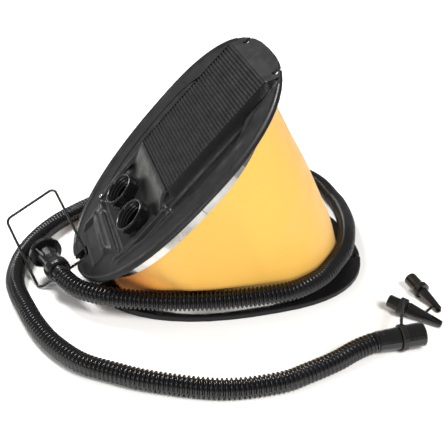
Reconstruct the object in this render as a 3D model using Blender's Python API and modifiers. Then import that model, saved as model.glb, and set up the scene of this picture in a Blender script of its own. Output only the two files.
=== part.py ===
"""Bellows foot air pump: two egg-shaped plates hinged at the narrow end, a cloth bellows between them,
a corrugated hose wrapped round the bellows, two nozzles on straps and a wire storage ring.

Frame: X runs from the hinge to the open end, Y is across the pump, Z is up. The origin is on the floor
under the middle of the base plate. Everything on the pedal is drawn in the pedal's own frame, whose
origin is the hinge axis, and the pivot empty then opens it.
"""
import math

import bmesh
import bpy
from mathutils import Matrix, Vector

# Overall shape of both plates; stations are measured from the narrow tip.
PLATE_LENGTH = 0.290
PLATE_HALF_WIDTH = 0.110
PLATE_WIDEST = 0.171
PLATE_POWERS = (2.35, 2.47)
OUTLINE_POINTS = 52
TIP_X = -PLATE_LENGTH / 2
CLEARANCE = 0.0003

# Hinge and pedal opening.
HINGE_FROM_TIP = 0.007
HINGE_HEIGHT = 0.0155
OPEN_ANGLE = math.radians(46)
LUG_RADIUS = 0.0045
PIN_RADIUS = 0.0020
PIN_HOLE_RADIUS = 0.00235
PEDAL_LUG_SPAN = (0.0120, 0.0200)
BASE_LUG_SPAN = (0.0204, 0.0280)

# Bellows, its clamp bands and the spigots that they clamp it to.
RING_FIRST = 0.0195
RING_LAST = 0.268
RING_WIDEST = 0.165
RING_HALF_WIDTH = 0.1055
RING_POWERS = (2.65, 2.0)
BAND_THICKNESS = 0.0008
BAND_HEIGHT = 0.0085
CLOTH_THICKNESS = 0.0008
SPIGOT_WALL = 0.0025
CLOTH_INSET = BAND_THICKNESS + CLEARANCE
# Rows of the cloth: height above the lower band, then share of what is left up to the pedal.
BELLOWS_ROWS = ((0.0045, 0.0), (0.0095, 0.0), (0.0145, 0.0), (0.0220, 0.0), (0.0220, 0.33), (0.0220, 0.67))
BELLOWS_SHORT_SPAN = 0.030
BELLOWS_SAG = 0.002
HOSE_ROOM = 0.0012
SPIGOT_INSET = CLOTH_INSET + CLOTH_THICKNESS + CLEARANCE

# Base plate levels.
BASE_TOP = 0.0060
BASE_FLOOR_THICKNESS = 0.0025
BASE_RIM_WIDTH = 0.0050
BASE_PAD_RADIUS = 0.018
EDGE_BREAK = 0.0009
BASE_BAND_LOW = BASE_TOP + CLEARANCE
BASE_BAND_HIGH = BASE_BAND_LOW + BAND_HEIGHT

# Pedal plate levels above the hinge axis, and the drops and rises from its rim.
PEDAL_RIM = 0.0187
PEDAL_FLANGE = 0.0030
PEDAL_BAND_HIGH = PEDAL_RIM - PEDAL_FLANGE - CLEARANCE
PEDAL_BAND_LOW = PEDAL_BAND_HIGH - BAND_HEIGHT
SHEET = 0.0025
TRAY_STATIONS = (0.030, 0.246)
TRAY_HALF_WIDTH = 0.085
TRAY_FLOOR = PEDAL_RIM - 0.0059
WELL_FLOOR = PEDAL_RIM - 0.0049
TREAD_TOP = PEDAL_RIM + 0.0078
TREAD_CEILING = TREAD_TOP - 0.0045

# Stations on the pedal, from its narrow tip.
POCKET_END = 0.0195
POCKET_SIDES = (-0.0085, 0.0075)
TIP_SPLIT = 0.0185
BOSS_STATIONS = (0.0022, 0.0181)
BOSS_HALF_WIDTH = 0.024
RECESS_STATIONS = (0.0175, 0.042)
RECESS_HALF_WIDTH = 0.035
RECESS_DEPTH = 0.0015
ISLAND_HALF_WIDTH = 0.060
ISLAND_RISE = 0.0004
WELL_STATIONS = (0.052, 0.107)
WELL_HALF_WIDTH = 0.054
TREAD_STATIONS = (0.131, 0.267)
TREAD_HALF_WIDTH = 0.055
RIB_COUNT = 37
RIB_DEPTH = 0.0012
PORT_STATION = 0.0825
PORT_SPACING = 0.055

# Storage notches at the open end of both plates, and the wire ring that fits them.
NOTCH_HALF_SPACING = 0.0437
NOTCH_WIDTH = 0.0052
NOTCH_DEPTH = 0.0070
NOTCH_EYE_RADIUS = 0.0036
CLIP_WIRE_RADIUS = 0.0014
CLIP_BEND = 0.006
CLIP_CORNERS = (
    (-0.1654, 0.0704, 0.0740),
    (-0.2184, 0.0730, 0.0422),
    (-0.1961, -0.0025, 0.0005),
    (-0.1437, -0.0049, 0.0318),
)

# Ports and valves.
PORT_RADIUS = 0.0180
PORT_BORE = 0.0153
PORT_TOP = PEDAL_RIM + 0.0060
PORT_FOOT = 0.0040
THREAD_RADIUS = 0.0144
THREAD_COUNT = 3
SEAT_RADIUS = PORT_BORE - CLEARANCE
SEAT_LEDGE = 0.0075
SEAT_THICKNESS = 0.0018
FLAP_RADIUS = 0.0122
FLAP_THICKNESS = 0.0012
STEM_RADIUS = 0.0014
STEM_HOLE_RADIUS = 0.0018
BULB_RADIUS = 0.0028
VALVE_TRAVEL = 0.0025

# Overlap plates that close the clamp bands, on the near side.
LOWER_CLASP_STATION = 0.200
UPPER_CLASP_STATION = 0.139

# Return spring.
SPRING_STATION = 0.165
SPRING_RADIUS = 0.024
SPRING_WIRE_RADIUS = 0.0015
SPRING_TURNS = 6
SPRING_POINTS_PER_TURN = 9

# Hose and its fittings.
HOSE_RADIUS = 0.0095
HOSE_POINT_PITCH = 0.022
HOSE_LEAD = 0.004
HOSE_ROUTE = (
    (-0.1748, -0.0191, 0.0274),
    (-0.1705, -0.0320, 0.0266),
    (-0.1612, -0.0485, 0.0252),
    (-0.1437, -0.0640, 0.0246),
    (-0.1240, -0.0750, 0.0246),
    (-0.0885, -0.0905, 0.0246),
    (-0.0520, -0.1010, 0.0246),
    (-0.0150, -0.1075, 0.0246),
    (0.0245, -0.1100, 0.0246),
    (0.0470, -0.1075, 0.0246),
    (0.0752, -0.0948, 0.0246),
    (0.0975, -0.0750, 0.0246),
    (0.1145, -0.0560, 0.0246),
    (0.1285, -0.0310, 0.0240),
    (0.1430, 0.0050, 0.0195),
    (0.1540, 0.0500, 0.0130),
    (0.1562, 0.0780, 0.0098),
    (0.1550, 0.1060, 0.0098),
    (0.1480, 0.1300, 0.0098),
    (0.1340, 0.1530, 0.0098),
    (0.1080, 0.1730, 0.0098),
    (0.0740, 0.1830, 0.0098),
    (0.0350, 0.1840, 0.0098),
    (-0.0100, 0.1780, 0.0098),
    (-0.0550, 0.1660, 0.0098),
    (-0.0980, 0.1490, 0.0098),
    (-0.1324, 0.1300, 0.0098),
    (-0.1610, 0.1105, 0.0098),
    (-0.1858, 0.0840, 0.0098),
    (-0.2064, 0.0500, 0.0098),
    (-0.2172, 0.0145, 0.0098),
    (-0.2180, -0.0123, 0.0098),
    (-0.2121, -0.0450, 0.0098),
    (-0.2050, -0.0760, 0.0098),
    (-0.1935, -0.1070, 0.0098),
    (-0.1734, -0.1396, 0.0098),
    (-0.1468, -0.1621, 0.0098),
    (-0.1133, -0.1847, 0.0098),
    (-0.0601, -0.2094, 0.0098),
    (-0.0105, -0.2153, 0.0098),
    (0.0172, -0.2105, 0.0099),
    (0.0456, -0.2034, 0.0104),
    (0.0698, -0.1946, 0.0113),
    (0.0914, -0.1900, 0.0123),
)

# Pump-end fitting and its cuff: places of the flange's face and of a point further along the hose.
FITTING_ORIGIN = (-0.1847, 0.0210, 0.0286)
FITTING_TARGET = (-0.1751, -0.0178, 0.0274)
CUFF_START = 0.0285
CUFF_LENGTH = 0.0125

# Free end of the hose, the two nozzles and the strap that holds them.
END_CUFF_ORIGIN = (0.0914, -0.1903, 0.0121)
END_CUFF_TARGET = (0.1363, -0.1932, 0.0134)
END_CUFF_LENGTH = 0.0450
STRAP_GROOVE = (0.0215, 0.0275)
STRAP_SEAT = 0.0097
STRAP_RING_RADIUS = 0.0124
NOZZLE_A_ORIGIN = (0.1296, -0.1341, 0.0116)
NOZZLE_A_TARGET = (0.1662, -0.1748, 0.0042)
NOZZLE_A_LENGTH = 0.0555
NOZZLE_SOCKET_RADIUS = 0.0063
NOZZLE_LOOP_RADIUS = 0.0088
NOZZLE_LOOP_STATIONS = (0.0112, 0.0185)
NOZZLE_B_ORIGIN = (0.1671, -0.1052, 0.0116)
NOZZLE_B_TARGET = (0.1759, -0.1542, 0.0038)
NOZZLE_B_LENGTH = 0.0500
SPRUE_STATIONS = (0.0360, 0.0410)
SPRUE_GAP = 0.0056
STRAP_ROUTE = (
    (0.1156, -0.1880, 0.0241),
    (0.1196, -0.1795, 0.0255),
    (0.1262, -0.1683, 0.0234),
    (0.1335, -0.1562, 0.0199),
    (0.1401, -0.1458, 0.0172),
)

COLLECTION_NAME = "foot_air_pump"


# ---------------------------------------------------------------- outlines

def egg(first, last, widest, half_width, powers):
    """Egg outline between two stations on the X axis, anticlockwise."""
    points = []
    for index in range(OUTLINE_POINTS):
        turn = 2 * math.pi * index / OUTLINE_POINTS
        cosine = math.cos(turn)
        sine = math.sin(turn)
        power = powers[1] if cosine > 0 else powers[0]
        length = last - widest if cosine > 0 else widest - first
        along = math.copysign(abs(cosine) ** (2 / power), cosine)
        across = math.copysign(abs(sine) ** (2 / power), sine)
        points.append((widest + length * along, half_width * across))
    return points


def outward(points):
    """Outward unit normal at each point of an anticlockwise outline."""
    normals = []
    for index in range(len(points)):
        before = points[index - 1]
        after = points[(index + 1) % len(points)]
        run = (after[0] - before[0], after[1] - before[1])
        size = math.hypot(*run)
        normals.append((run[1] / size, -run[0] / size))
    return normals


def inset(points, distance):
    moved = []
    for (x, y), (nx, ny) in zip(points, outward(points)):
        moved.append((x - nx * distance, y - ny * distance))
    return moved


def shifted(points, step):
    return [(x + step, y) for x, y in points]


def plate_outline():
    return egg(0.0, PLATE_LENGTH, PLATE_WIDEST, PLATE_HALF_WIDTH, PLATE_POWERS)


def ring_outline(depth):
    """The clamp band's outer outline, moved inwards by a depth."""
    return inset(egg(RING_FIRST, RING_LAST, RING_WIDEST, RING_HALF_WIDTH, RING_POWERS), depth)


def tray_outline(wall):
    """Outline of the pedal's sunken tray, made larger by the thickness of its wall."""
    first, last = TRAY_STATIONS
    return egg(first - wall, last + wall, PLATE_WIDEST, TRAY_HALF_WIDTH + wall, PLATE_POWERS)


def ring_side(station):
    """Half width of the clamp band's outer face at a station."""
    power = RING_POWERS[1] if station > RING_WIDEST else RING_POWERS[0]
    length = RING_LAST - RING_WIDEST if station > RING_WIDEST else RING_WIDEST - RING_FIRST
    return RING_HALF_WIDTH * (1 - (abs(station - RING_WIDEST) / length) ** power) ** (1 / power)


# ---------------------------------------------------------------- objects

def clear_scene():
    for item in list(bpy.data.objects):
        bpy.data.objects.remove(item, do_unlink=True)


def collection(name):
    group = bpy.data.collections.new(name)
    bpy.context.scene.collection.children.link(group)
    return group


def material(name, colour, roughness, metallic=0.0):
    made = bpy.data.materials.new(name)
    made.use_nodes = True
    shader = made.node_tree.nodes["Principled BSDF"]
    shader.inputs["Base Color"].default_value = (*colour, 1.0)
    shader.inputs["Roughness"].default_value = roughness
    shader.inputs["Metallic"].default_value = metallic
    made.diffuse_color = (*colour, 1.0)
    return made


def add_object(name, data):
    item = bpy.data.objects.new(name, data)
    PARTS.objects.link(item)
    return item


def mesh_from_curve(guide):
    """Replace a curve object by a closed mesh object of the same shape and place."""
    bpy.context.view_layer.update()
    evaluated = guide.evaluated_get(bpy.context.evaluated_depsgraph_get())
    mesh = bpy.data.meshes.new_from_object(evaluated)
    work = bmesh.new()
    work.from_mesh(mesh)
    bmesh.ops.remove_doubles(work, verts=work.verts, dist=0.00001)
    bmesh.ops.recalc_face_normals(work, faces=work.faces)
    work.to_mesh(mesh)
    work.free()
    name = guide.name
    place = guide.matrix_world.copy()
    bpy.data.objects.remove(guide, do_unlink=True)
    item = add_object(name, mesh)
    item.matrix_world = place
    return item


def slab(name, loops, low, high):
    """Flat solid between two heights, from an outline and any holes in it."""
    curve = bpy.data.curves.new(name, "CURVE")
    curve.dimensions = "2D"
    curve.fill_mode = "BOTH"
    curve.extrude = (high - low) / 2
    for loop in loops:
        spline = curve.splines.new("POLY")
        spline.points.add(len(loop) - 1)
        for point, (x, y) in zip(spline.points, loop):
            point.co = (x, y, 0, 1)
        spline.use_cyclic_u = True
    guide = add_object(name, curve)
    guide.location.z = (low + high) / 2
    return mesh_from_curve(guide)


def side_slab(name, profile, half_width):
    """Solid with a profile in X and Z, as wide as stated across Y."""
    item = slab(name, [profile], -half_width, half_width)
    item.matrix_world = Matrix.Rotation(math.radians(90), 4, "X")
    return item


def box(name, low, high):
    work = bmesh.new()
    size = [b - a for a, b in zip(low, high)]
    middle = [(a + b) / 2 for a, b in zip(low, high)]
    bmesh.ops.create_cube(work, size=1.0, matrix=Matrix.Diagonal((*size, 1.0)))
    mesh = bpy.data.meshes.new(name)
    work.to_mesh(mesh)
    work.free()
    item = add_object(name, mesh)
    item.location = middle
    return item


def cylinder(name, radius, start, end, sides=24):
    """Closed cylinder between two points."""
    start = Vector(start)
    end = Vector(end)
    work = bmesh.new()
    bmesh.ops.create_cone(work, cap_ends=True, segments=sides, radius1=radius, radius2=radius,
                          depth=(end - start).length)
    mesh = bpy.data.meshes.new(name)
    work.to_mesh(mesh)
    work.free()
    item = add_object(name, mesh)
    item.location = (start + end) / 2
    item.rotation_mode = "QUATERNION"
    item.rotation_quaternion = (end - start).to_track_quat("Z", "Y")
    return item


def turned(name, profile, steps=24, closed=True):
    """Solid turned about Z from (radius, height) points that run down the outer side."""
    mesh = bpy.data.meshes.new(name)
    points = [(radius, 0, height) for radius, height in profile]
    edges = [(index, index + 1) for index in range(len(points) - 1)]
    if closed:
        edges.append((len(points) - 1, 0))
    mesh.from_pydata(points, edges, [])
    item = add_object(name, mesh)
    screw = item.modifiers.new("Turn", "SCREW")
    screw.axis = "Z"
    screw.steps = steps
    screw.render_steps = steps
    screw.use_merge_vertices = True
    screw.merge_threshold = 0.00001
    screw.use_smooth_shade = False
    return item


def wire(name, points, radius, cyclic=False, resolution=2):
    """Round wire or tube along points, with closed ends."""
    curve = bpy.data.curves.new(name, "CURVE")
    curve.dimensions = "3D"
    curve.bevel_depth = radius
    curve.bevel_resolution = resolution
    curve.use_fill_caps = not cyclic
    spline = curve.splines.new("POLY")
    spline.points.add(len(points) - 1)
    for target, point in zip(spline.points, points):
        target.co = (*point, 1)
    spline.use_cyclic_u = cyclic
    return add_object(name, curve)


def combine(target, operand, operation):
    """Cut or join an operand into a target, and put the operand with the cutters."""
    operand.hide_render = True
    operand.display_type = "WIRE"
    PARTS.objects.unlink(operand)
    CUTTERS.objects.link(operand)
    step = target.modifiers.new(operation.title(), "BOOLEAN")
    step.operation = operation
    step.solver = "EXACT"
    step.object = operand


def finish(item, look, smooth_angle=40):
    """Give a part its material and smooth its round faces."""
    item.data.materials.clear()
    item.data.materials.append(look)
    if item.type == "MESH":
        item.data.shade_smooth()
        item.data.set_sharp_from_angle(angle=math.radians(smooth_angle))
    return item


def smooth_path(route, pitch):
    """Evenly spaced points on a Catmull-Rom curve through a route."""
    knots = [Vector(point) for point in route]
    knots = [2 * knots[0] - knots[1]] + knots + [2 * knots[-1] - knots[-2]]
    dense = []
    for index in range(1, len(knots) - 2):
        before, here, after, beyond = knots[index - 1:index + 3]
        for part in range(20):
            t = part / 20
            dense.append(0.5 * (2 * here + (after - before) * t
                                + (2 * before - 5 * here + 4 * after - beyond) * t ** 2
                                + (3 * here - before - 3 * after + beyond) * t ** 3))
    dense.append(knots[-2])
    lengths = [0.0]
    for one, two in zip(dense, dense[1:]):
        lengths.append(lengths[-1] + (two - one).length)
    count = round(lengths[-1] / pitch)
    points = []
    index = 0
    for step in range(count + 1):
        target = lengths[-1] * step / count
        while index < len(lengths) - 2 and lengths[index + 1] < target:
            index += 1
        share = (target - lengths[index]) / (lengths[index + 1] - lengths[index])
        points.append(dense[index].lerp(dense[index + 1], share))
    return points


def hose_points():
    """The hose's centreline, with a short straight piece at each end that faces its fitting."""
    points = smooth_path(HOSE_ROUTE, HOSE_POINT_PITCH)
    start_way = (Vector(FITTING_TARGET) - Vector(FITTING_ORIGIN)).normalized()
    end_way = (Vector(END_CUFF_TARGET) - Vector(END_CUFF_ORIGIN)).normalized()
    first = Vector(FITTING_ORIGIN) + start_way * (CUFF_START + CUFF_LENGTH + CLEARANCE)
    last = Vector(END_CUFF_ORIGIN)
    return [first, first + start_way * HOSE_LEAD] + points[1:-1] + [last - end_way * HOSE_LEAD, last]


# ---------------------------------------------------------------- base

def cut_notches(plate, tip_x, low, high):
    """Cut the two keyhole notches at a plate's open end."""
    rim_x = tip_x + PLATE_LENGTH
    for side in (-1, 1):
        middle = side * NOTCH_HALF_SPACING
        slot = box("notch_slot", (rim_x - 0.004 - NOTCH_DEPTH, middle - NOTCH_WIDTH / 2, low),
                   (rim_x + 0.004, middle + NOTCH_WIDTH / 2, high))
        eye_x = rim_x - 0.004 - NOTCH_DEPTH
        eye = cylinder("notch_eye", NOTCH_EYE_RADIUS, (eye_x, middle, low), (eye_x, middle, high), 16)
        combine(plate, slot, "DIFFERENCE")
        combine(plate, eye, "DIFFERENCE")


def hinge_lug(name, y_low, y_high, foot_low, foot_high):
    """Lug about the Y axis through the origin, with a foot that reaches between two heights."""
    lug = cylinder(name, LUG_RADIUS, (0, y_low, 0), (0, y_high, 0), 24)
    foot = box(name + "_foot", (-LUG_RADIUS, y_low, foot_low), (LUG_RADIUS, y_high, foot_high))
    combine(lug, foot, "UNION")
    return lug


def lofted(name, rows):
    """Closed solid skinned over loops of (outline, height), capped on its first and last loops."""
    work = bmesh.new()
    loops = [[work.verts.new((x, y, height)) for x, y in outline] for outline, height in rows]
    for loop, following in zip(loops, loops[1:]):
        for index in range(OUTLINE_POINTS):
            after = (index + 1) % OUTLINE_POINTS
            work.faces.new((loop[index], loop[after], following[after], following[index]))
    work.faces.new(loops[0][::-1])
    work.faces.new(loops[-1])
    bmesh.ops.recalc_face_normals(work, faces=work.faces)
    mesh = bpy.data.meshes.new(name)
    work.to_mesh(mesh)
    work.free()
    return add_object(name, mesh)


def base_plate():
    outline = shifted(plate_outline(), TIP_X)
    rim = inset(outline, BASE_RIM_WIDTH)
    pad = egg(-BASE_PAD_RADIUS, BASE_PAD_RADIUS, 0.0, BASE_PAD_RADIUS, (2, 2))
    outer = shifted(ring_outline(SPIGOT_INSET), TIP_X)
    inner = shifted(ring_outline(SPIGOT_INSET + SPIGOT_WALL), TIP_X)
    underside = BASE_TOP - BASE_FLOOR_THICKNESS
    plate = lofted("base_plate", [
        (pad, 0.0), (pad, underside), (rim, underside), (rim, 0.0),
        (inset(outline, EDGE_BREAK), 0.0), (outline, EDGE_BREAK),
        (outline, BASE_TOP - EDGE_BREAK), (inset(outline, EDGE_BREAK), BASE_TOP),
        (outer, BASE_TOP), (outer, BASE_BAND_HIGH), (inner, BASE_BAND_HIGH), (inner, BASE_TOP)])
    hinge_x = TIP_X + HINGE_FROM_TIP
    for side in (-1, 1):
        low, high = sorted(side * edge for edge in BASE_LUG_SPAN)
        lug = hinge_lug("base_lug", low, high, BASE_TOP - 0.001 - HINGE_HEIGHT, 0)
        foot = lug.modifiers[0].object
        lug.location += Vector((hinge_x, 0, HINGE_HEIGHT))
        foot.location += Vector((hinge_x, 0, HINGE_HEIGHT))
        combine(plate, lug, "UNION")
    hole = cylinder("base_pin_hole", PIN_HOLE_RADIUS, (hinge_x, -0.05, HINGE_HEIGHT),
                    (hinge_x, 0.05, HINGE_HEIGHT), 16)
    combine(plate, hole, "DIFFERENCE")
    cut_notches(plate, TIP_X, -0.002, BASE_TOP + 0.002)
    return finish(plate, BLACK_PLASTIC)


def clamp_band(name, tip_x, low, high):
    """Steel band round the bellows, as a closed flat hoop."""
    loops = [shifted(ring_outline(0), tip_x), shifted(ring_outline(BAND_THICKNESS), tip_x)]
    return finish(slab(name, loops, low, high), BAND_STEEL)


def band_clasp(name, tip_x, station, low, high):
    """Overlap plate that closes a band, lying on its outer face on the near side."""
    half = 0.009
    steps = 6
    inner = []
    outer = []
    for index in range(steps + 1):
        x = station - half + 2 * half * index / steps
        y = -ring_side(x) - CLEARANCE
        inner.append((x, y))
        outer.append((x, y - BAND_THICKNESS))
    loop = shifted(outer + inner[::-1], tip_x)
    clasp = slab(name, [loop], low + 0.0006, high - 0.0006)
    return finish(clasp, BAND_STEEL)


def hinge_pin():
    x = TIP_X + HINGE_FROM_TIP
    half = BASE_LUG_SPAN[1]
    head = 0.0015
    profile = [(0, half + head), (0.0032, half + head), (0.0032, half + CLEARANCE),
               (PIN_RADIUS, half + CLEARANCE), (PIN_RADIUS, -half - CLEARANCE),
               (0.0032, -half - CLEARANCE), (0.0032, -half - head), (0, -half - head)]
    pin = turned("hinge_pin", profile, 16, closed=False)
    pin.location = (x, 0, HINGE_HEIGHT)
    pin.rotation_euler = (math.radians(90), 0, 0)
    return finish(pin, BAND_STEEL)


# ---------------------------------------------------------------- pedal

def on_pedal(station):
    """X in the pedal's frame of a station measured from the narrow tip."""
    return station - HINGE_FROM_TIP


def pedal_box(name, stations, half_width, low, high):
    return box(name, (on_pedal(stations[0]), -half_width, low), (on_pedal(stations[1]), half_width, high))


def tread_profile():
    """Side view of the raised tread: ramp, ribbed top and end slope."""
    start, end = TREAD_STATIONS
    pitch = (end - start) / RIB_COUNT
    profile = [(WELL_STATIONS[1], TRAY_FLOOR - 0.001), (WELL_STATIONS[1], WELL_FLOOR + 0.002)]
    for index in range(RIB_COUNT):
        left = start + index * pitch
        profile.append((left, TREAD_TOP - RIB_DEPTH))
        profile.append((left + 0.30 * pitch, TREAD_TOP))
        profile.append((left + 0.70 * pitch, TREAD_TOP))
    profile.append((end, TREAD_TOP - RIB_DEPTH))
    profile.append((PLATE_LENGTH - 0.010, PEDAL_RIM - 0.0005))
    profile.append((PLATE_LENGTH - 0.010, PEDAL_RIM - 0.0015))
    profile.append((TRAY_STATIONS[1] + 0.001, PEDAL_RIM - 0.0015))
    profile.append((TRAY_STATIONS[1] + 0.001, TRAY_FLOOR - 0.001))
    return [(on_pedal(x), z) for x, z in profile]


def island_outline():
    """Raised frame round the port well, narrowing towards the hinge."""
    first = RECESS_STATIONS[1]
    last = WELL_STATIONS[1] - 0.002
    corner = 0.058
    return [(first, -0.037), (corner, -ISLAND_HALF_WIDTH), (last, -ISLAND_HALF_WIDTH),
            (last, ISLAND_HALF_WIDTH), (corner, ISLAND_HALF_WIDTH), (first, 0.037)]


def pedal_plate():
    tip = -HINGE_FROM_TIP
    outline = shifted(plate_outline(), tip)
    tray = shifted(tray_outline(0), tip)
    tray_wall = shifted(tray_outline(SHEET), tip)
    outer = shifted(ring_outline(SPIGOT_INSET), tip)
    inner = shifted(ring_outline(SPIGOT_INSET + SPIGOT_WALL), tip)
    underside = PEDAL_RIM - PEDAL_FLANGE
    plate = lofted("pedal_plate", [
        (tray_wall, TRAY_FLOOR - SHEET), (tray_wall, underside), (inner, underside),
        (inner, PEDAL_BAND_LOW), (outer, PEDAL_BAND_LOW), (outer, underside),
        (inset(outline, EDGE_BREAK), underside), (outline, underside + EDGE_BREAK),
        (outline, PEDAL_RIM - EDGE_BREAK), (inset(outline, EDGE_BREAK), PEDAL_RIM),
        (tray, PEDAL_RIM), (tray, TRAY_FLOOR)])
    island = slab("pedal_island", [shifted(island_outline(), tip)], TRAY_FLOOR - 0.001,
                  PEDAL_RIM + ISLAND_RISE)
    combine(plate, island, "UNION")
    tread = side_slab("pedal_tread", tread_profile(), TREAD_HALF_WIDTH)
    combine(plate, tread, "UNION")
    below = TRAY_FLOOR - SHEET - 0.002
    under_tread = [(WELL_STATIONS[1] + 0.003, below), (TREAD_STATIONS[0], TREAD_CEILING),
                   (TRAY_STATIONS[1] - 0.002, TREAD_CEILING), (TRAY_STATIONS[1] - 0.002, below)]
    hollow_tread = side_slab("tread_hollow", [(on_pedal(x), z) for x, z in under_tread],
                             TREAD_HALF_WIDTH - SHEET)
    combine(plate, hollow_tread, "DIFFERENCE")
    well = pedal_box("port_well", WELL_STATIONS, WELL_HALF_WIDTH, WELL_FLOOR, PEDAL_RIM + 0.004)
    combine(plate, well, "DIFFERENCE")
    recess = pedal_box("hinge_recess", RECESS_STATIONS, RECESS_HALF_WIDTH, PEDAL_RIM - RECESS_DEPTH,
                       PEDAL_RIM + 0.004)
    combine(plate, recess, "DIFFERENCE")
    for side in (-1, 1):
        y = side * PORT_SPACING / 2
        hole = cylinder("port_hole", PORT_RADIUS + CLEARANCE, (on_pedal(PORT_STATION), y, 0),
                        (on_pedal(PORT_STATION), y, PEDAL_RIM), 32)
        combine(plate, hole, "DIFFERENCE")
    front = box("plate_front", (on_pedal(-0.004), -0.070, -0.010),
                (on_pedal(TIP_SPLIT + CLEARANCE / 2), 0.070, PEDAL_RIM + 0.004))
    combine(plate, front, "DIFFERENCE")
    cut_notches(plate, tip, PEDAL_RIM - 0.008, PEDAL_RIM + 0.004)
    return finish(plate, BLACK_PLASTIC)


def hinge_block():
    """Tip of the pedal: its hinge lugs, and the pocket that a corner of the storage clip sits in."""
    outline = shifted(plate_outline(), -HINGE_FROM_TIP)
    underside = PEDAL_RIM - PEDAL_FLANGE
    block = lofted("hinge_block", [
        (inset(outline, EDGE_BREAK), underside), (outline, underside + EDGE_BREAK),
        (outline, PEDAL_RIM - EDGE_BREAK), (inset(outline, EDGE_BREAK), PEDAL_RIM)])
    tip_space = box("tip_space", (on_pedal(-0.004), -0.070, -0.010),
                    (on_pedal(TIP_SPLIT - CLEARANCE / 2), 0.070, PEDAL_RIM + 0.004))
    combine(block, tip_space, "INTERSECT")
    boss = pedal_box("tip_boss", BOSS_STATIONS, BOSS_HALF_WIDTH, WELL_FLOOR - SHEET, PEDAL_RIM - 0.001)
    combine(block, boss, "UNION")
    right, left = POCKET_SIDES
    pocket = box("tip_pocket", (on_pedal(-0.004), right, WELL_FLOOR),
                 (on_pedal(POCKET_END), left, PEDAL_RIM + 0.004))
    combine(block, pocket, "DIFFERENCE")
    for side in (-1, 1):
        low, high = sorted(side * edge for edge in PEDAL_LUG_SPAN)
        combine(block, hinge_lug("pedal_lug", low, high, 0, WELL_FLOOR - 0.001), "UNION")
    pin_hole = cylinder("pedal_pin_hole", PIN_HOLE_RADIUS, (0, -0.05, 0), (0, 0.05, 0), 20)
    combine(block, pin_hole, "DIFFERENCE")
    return finish(block, BLACK_PLASTIC)


def port(name, side):
    """Threaded port insert with a flange on the well floor and a ledge for the valve seat."""
    flange_radius = PORT_RADIUS + 0.0018
    flange_low = WELL_FLOOR + CLEARANCE
    profile = [(PORT_RADIUS - 0.0006, PORT_TOP), (PORT_RADIUS, PORT_TOP - 0.0006),
               (PORT_RADIUS, flange_low + 0.0012), (flange_radius, flange_low + 0.0012),
               (flange_radius, flange_low), (PORT_RADIUS, flange_low), (PORT_RADIUS, PORT_FOOT),
               (PORT_BORE - 0.0015, PORT_FOOT), (PORT_BORE - 0.0015, SEAT_LEDGE), (PORT_BORE, SEAT_LEDGE)]
    thread_low = SEAT_LEDGE + 0.006
    pitch = (PORT_TOP - 0.001 - thread_low) / THREAD_COUNT
    for index in range(THREAD_COUNT):
        low = thread_low + index * pitch
        profile.append((PORT_BORE, low))
        profile.append((THREAD_RADIUS, low + 0.45 * pitch))
        profile.append((PORT_BORE, low + 0.90 * pitch))
    profile.append((PORT_BORE, PORT_TOP - 0.0004))
    profile.append((PORT_BORE + 0.0004, PORT_TOP))
    insert = turned(name, profile)
    insert.location = (on_pedal(PORT_STATION), side * PORT_SPACING / 2, 0)
    return finish(insert, GLOSSY_BLACK)


def valve_seat(name, side):
    """Round seat with a hub for the flap's stem and three air windows."""
    low = SEAT_LEDGE + CLEARANCE
    profile = [(SEAT_RADIUS, low + SEAT_THICKNESS), (SEAT_RADIUS, low),
               (STEM_HOLE_RADIUS, low), (STEM_HOLE_RADIUS, low + SEAT_THICKNESS)]
    seat = turned(name, profile)
    seat.location = (on_pedal(PORT_STATION), side * PORT_SPACING / 2, 0)
    for index in range(3):
        turn = 2 * math.pi * index / 3
        x = seat.location.x + 0.0065 * math.cos(turn)
        y = seat.location.y + 0.0065 * math.sin(turn)
        window = cylinder("seat_window", 0.0029, (x, y, low - 0.002), (x, y, low + 0.005), 10)
        combine(seat, window, "DIFFERENCE")
    return finish(seat, BLACK_PLASTIC)


def valve_flap(name, side, outward_flap):
    """Rubber flap: a disc on one face of the seat, and a stem with a bulb beyond the other."""
    reach = SEAT_THICKNESS + 2 * CLEARANCE + VALVE_TRAVEL
    top = FLAP_THICKNESS
    profile = [(0, top), (FLAP_RADIUS, top), (FLAP_RADIUS, 0), (STEM_RADIUS, 0), (STEM_RADIUS, -reach),
               (BULB_RADIUS, -reach), (STEM_RADIUS, -reach - 0.003), (0, -reach - 0.003)]
    flap = turned(name, profile, 20, closed=False)
    seat_low = SEAT_LEDGE + CLEARANCE
    height = seat_low + SEAT_THICKNESS + CLEARANCE if outward_flap else seat_low - CLEARANCE
    flap.location = (on_pedal(PORT_STATION), side * PORT_SPACING / 2, height)
    if not outward_flap:
        flap.rotation_euler = (math.pi, 0, 0)
    return finish(flap, RUBBER)


def plate_rivet():
    """Small steel rivet on the island beside the far port."""
    low = PEDAL_RIM + ISLAND_RISE + CLEARANCE
    profile = [(0, low + 0.0024), (0.0008, low + 0.0024), (0.0014, low + 0.0017), (0.0014, low), (0, low)]
    rivet = turned("plate_rivet", profile, 12, closed=False)
    rivet.location = (on_pedal(0.0560), 0.0556, 0)
    return finish(rivet, BAND_STEEL)


# ---------------------------------------------------------------- bellows and spring

def open_pedal(point):
    """World position of a point given in the pedal's frame."""
    turned_point = Matrix.Rotation(-OPEN_ANGLE, 3, "Y") @ Vector(point)
    return turned_point + Vector((TIP_X + HINGE_FROM_TIP, 0, HINGE_HEIGHT))


def clear_of_hose(point, inwards, hose, room):
    """Move a point inwards until it is a stated distance from the hose's centreline."""
    moved = 0.0
    for centre in hose:
        gap = point - centre
        if gap.length < room:
            along = gap.dot(inwards)
            moved = max(moved, math.sqrt(along ** 2 - gap.length_squared + room ** 2) - along)
    return point + inwards * moved


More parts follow.
